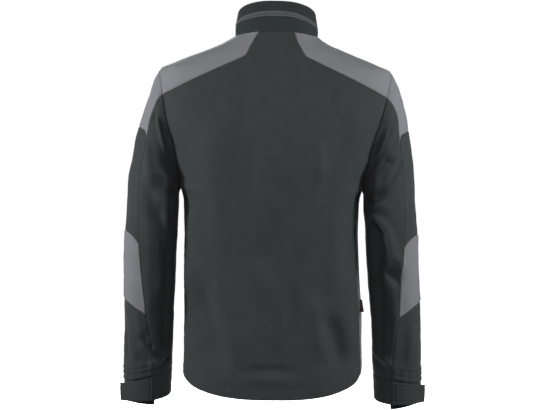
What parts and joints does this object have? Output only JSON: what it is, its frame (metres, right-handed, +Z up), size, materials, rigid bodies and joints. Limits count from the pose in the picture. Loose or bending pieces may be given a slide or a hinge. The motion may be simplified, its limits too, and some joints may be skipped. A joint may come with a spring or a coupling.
{
  "type": "softshell jacket",
  "caption": "Zipped softshell work jacket, filled out as worn: grey shoulder yokes and elbow patches, stand collar, wrist tabs and knitted storm cuffs.",
  "frame": {"origin": "inside the neck, midway between its sides and level with the collar seam there, where the wearer's shoulders carry the jacket", "axes": "+Z up, towards the collar; -Y towards the zipped front; +X towards the wearer's left"},
  "size_m": [0.6143, 0.2568, 0.8134],
  "materials": {
    "charcoal_softshell": "matte woven softshell",
    "grey_softshell": "matte woven softshell",
    "collar_trim": "soft grey",
    "black_knit": "rib knit",
    "zip_tape": "woven tape",
    "zip_teeth": "moulded",
    "zip_metal": "black lacquer",
    "label": "woven tape"
  },
  "bodies": {
    "jacket": {"back": "charcoal_softshell", "collar_stand": "charcoal_softshell", "collar_strip": "collar_trim", "collar_top": "charcoal_softshell", "collar_facing": "collar_trim", "zip_tape_left": "zip_tape", "zip_tape_right": "zip_tape", "zip_teeth": "zip_teeth", "zip_slider": "zip_metal", "side_label": "label", "front_left": "charcoal_softshell", "front_right": "charcoal_softshell", "side_panel_left": "grey_softshell", "side_panel_right": "grey_softshell", "yoke_left": "grey_softshell", "yoke_right": "grey_softshell", "sleeve_head_left": "grey_softshell", "sleeve_head_right": "grey_softshell", "sleeve_outer_left": "charcoal_softshell", "sleeve_outer_right": "charcoal_softshell", "sleeve_under_left": "charcoal_softshell", "sleeve_under_right": "charcoal_softshell", "elbow_patch_left": "grey_softshell", "elbow_patch_right": "grey_softshell", "cuff_left": "charcoal_softshell", "cuff_right": "charcoal_softshell", "wrist_tab_left": "charcoal_softshell", "wrist_tab_right": "charcoal_softshell", "storm_cuff_left": "black_knit", "storm_cuff_right": "black_knit"},
    "pull_tab": {"zip_pull": "zip_metal"}
  },
  "joints": [
    {"name": "pull_tab_hinge", "type": "hinge", "parent": "jacket", "child": "pull_tab", "pos_m": [-0.0078, -0.0633, 0.0127], "axis": [-1, 0, 0], "range_deg": [0, 150]}
  ]
}
